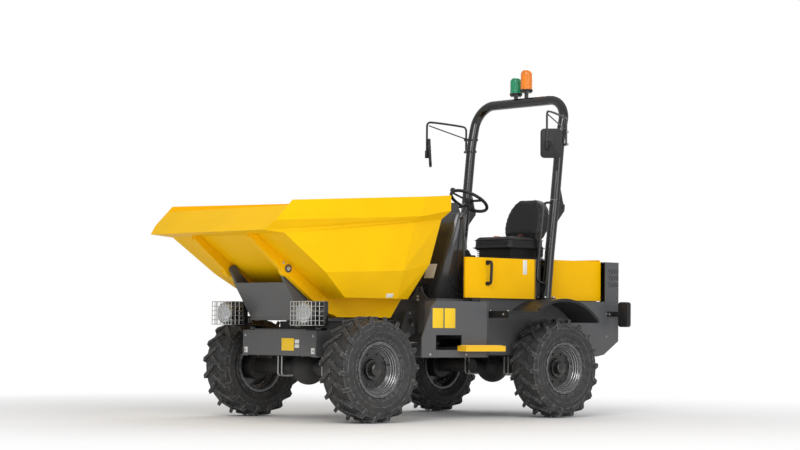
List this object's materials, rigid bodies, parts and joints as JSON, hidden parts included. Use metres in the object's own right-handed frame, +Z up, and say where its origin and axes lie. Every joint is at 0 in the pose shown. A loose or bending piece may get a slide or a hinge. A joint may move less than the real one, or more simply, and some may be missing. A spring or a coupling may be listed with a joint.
{
  "type": "site dumper",
  "caption": "Articulated site dumper with a swivelling, forward-tipping hollow skip, folding roll-over bar, lifting engine hood and freely turning wheels.",
  "frame": {"origin": "on the ground under the middle of the machine's length and width", "axes": "+X forward towards the skip's lip, +Y to the machine's left, +Z up"},
  "size_m": [4.284, 1.78, 3.0298],
  "materials": {
    "skip_yellow": "satin yellow paint",
    "body_yellow": "gloss yellow paint",
    "chassis_grey": "satin dark grey paint",
    "tower_grey": "satin mid grey paint",
    "black_paint": "gloss black paint",
    "rim_paint": "satin light grey paint",
    "tyre": "moulded tyre rubber",
    "cast": "painted casting",
    "chrome": "polished chrome",
    "step_yellow": "yellow tread paint",
    "black_plastic": "grained moulded plastic",
    "grey_plastic": "light grey moulded plastic",
    "seat_vinyl": "black grained vinyl",
    "amber_lens": "clear amber lens",
    "green_lens": "clear green lens",
    "engine_metal": "plain casting"
  },
  "bodies": {
    "rear_chassis": {"rear_frame": "chassis_grey", "rear_deck": "chassis_grey", "side_tanks": "chassis_grey", "skirts": "chassis_grey", "tail_panel": "chassis_grey", "rear_lamps": "black_plastic", "engine": "engine_metal", "footwell": "chassis_grey", "side_panels": "body_yellow", "tower": "tower_grey", "dash": "grey_plastic", "steering_column": "black_paint", "seat_base": "black_plastic", "seat_cushion": "seat_vinyl", "seat_back": "seat_vinyl", "fenders": "black_plastic", "steps": "step_yellow", "rops_posts": "black_paint", "grab_rails": "black_paint", "rear_axle": "cast"},
    "front_chassis": {"front_frame": "chassis_grey", "front_bumper": "chassis_grey", "headlamps": "black_plastic", "slew_ring": "cast", "front_axle": "cast"},
    "swivel": {"swivel_frame": "chassis_grey"},
    "skip": {"skip": "skip_yellow", "skip_frame": "skip_yellow"},
    "rops": {"rops_hoop": "black_paint", "mirror_arms": "black_paint", "mirror_heads": "black_plastic", "beacon_amber": "amber_lens", "beacon_green": "green_lens"},
    "hood": {"hood": "body_yellow"},
    "hand_wheel": {"hand_wheel": "black_plastic"},
    "steer_barrel": {"steer_barrel": "black_paint"},
    "steer_rod": {"steer_rod": "chrome"},
    "tip_barrel": {"tip_barrel": "black_paint"},
    "tip_rod": {"tip_rod": "chrome"},
    "wheel_front_left": {"tyre_front_left": "tyre", "rim_front_left": "rim_paint"},
    "wheel_front_right": {"tyre_front_right": "tyre", "rim_front_right": "rim_paint"},
    "wheel_rear_left": {"tyre_rear_left": "tyre", "rim_rear_left": "rim_paint"},
    "wheel_rear_right": {"tyre_rear_right": "tyre", "rim_rear_right": "rim_paint"}
  },
  "joints": [
    {"name": "steer", "type": "hinge", "parent": "rear_chassis", "child": "front_chassis", "pos_m": [0.255, 0, 0.65], "axis": [0, 0, 1], "range_deg": [-33, 33]},
    {"name": "skip_swivel", "type": "hinge", "parent": "front_chassis", "child": "swivel", "pos_m": [1.005, 0, 0.79], "axis": [0, 0, 1], "range_deg": [-90, 90]},
    {"name": "skip_tip", "type": "hinge", "parent": "swivel", "child": "skip", "pos_m": [1.626, 0, 1.192], "axis": [0, 1, 0], "range_deg": [0, 65]},
    {"name": "rops_fold", "type": "hinge", "parent": "rear_chassis", "child": "rops", "pos_m": [-1.25, 0, 1.79], "axis": [0, 1, 0], "range_deg": [-95, 0]},
    {"name": "hood_lift", "type": "hinge", "parent": "rear_chassis", "child": "hood", "pos_m": [-1.807, 0, 1.345], "axis": [0, -1, 0], "range_deg": [0, 60]},
    {"name": "hand_wheel_turn", "type": "hinge", "parent": "rear_chassis", "child": "hand_wheel", "pos_m": [-0.68, 0, 1.84], "axis": [-0.5, 0, 0.866], "continuous": true},
    {"name": "wheel_front_left_turn", "type": "hinge", "parent": "front_chassis", "child": "wheel_front_left", "pos_m": [1.09, 0.745, 0.415], "axis": [0, 1, 0], "continuous": true},
    {"name": "wheel_front_right_turn", "type": "hinge", "parent": "front_chassis", "child": "wheel_front_right", "pos_m": [1.09, -0.745, 0.415], "axis": [0, 1, 0], "continuous": true},
    {"name": "wheel_rear_left_turn", "type": "hinge", "parent": "rear_chassis", "child": "wheel_rear_left", "pos_m": [-0.98, 0.745, 0.415], "axis": [0, 1, 0], "continuous": true},
    {"name": "wheel_rear_right_turn", "type": "hinge", "parent": "rear_chassis", "child": "wheel_rear_right", "pos_m": [-0.98, -0.745, 0.415], "axis": [0, 1, 0], "continuous": true},
    {"name": "steer_ram_yaw", "type": "hinge", "parent": "rear_chassis", "child": "steer_barrel", "pos_m": [-0.56, 0.4, 0.62], "axis": [0, 0, 1], "range_deg": [-7, 7]},
    {"name": "steer_ram_slide", "type": "slide", "parent": "steer_barrel", "child": "steer_rod", "axis": [0.9996, 0.0291, 0], "range_m": [-0.242, 0.242]},
    {"name": "tip_ram_swing", "type": "hinge", "parent": "swivel", "child": "tip_barrel", "pos_m": [1.35, 0, 0.88], "axis": [0, 1, 0], "range_deg": [-1, 69]},
    {"name": "tip_ram_slide", "type": "slide", "parent": "tip_barrel", "child": "tip_rod", "axis": [-0.9995, 0, 0.0316], "range_m": [-0.005, 0.452]}
  ],
  "couplings": [
    {"joint": "steer_ram_yaw", "follows": "steer", "ratio": 0.19823},
    {"joint": "steer_ram_slide", "follows": "steer", "m_per_rad": -0.41179},
    {"joint": "tip_ram_swing", "follows": "skip_tip", "ratio": 1.0399},
    {"joint": "tip_ram_slide", "follows": "skip_tip", "m_per_rad": 0.3926}
  ]
}
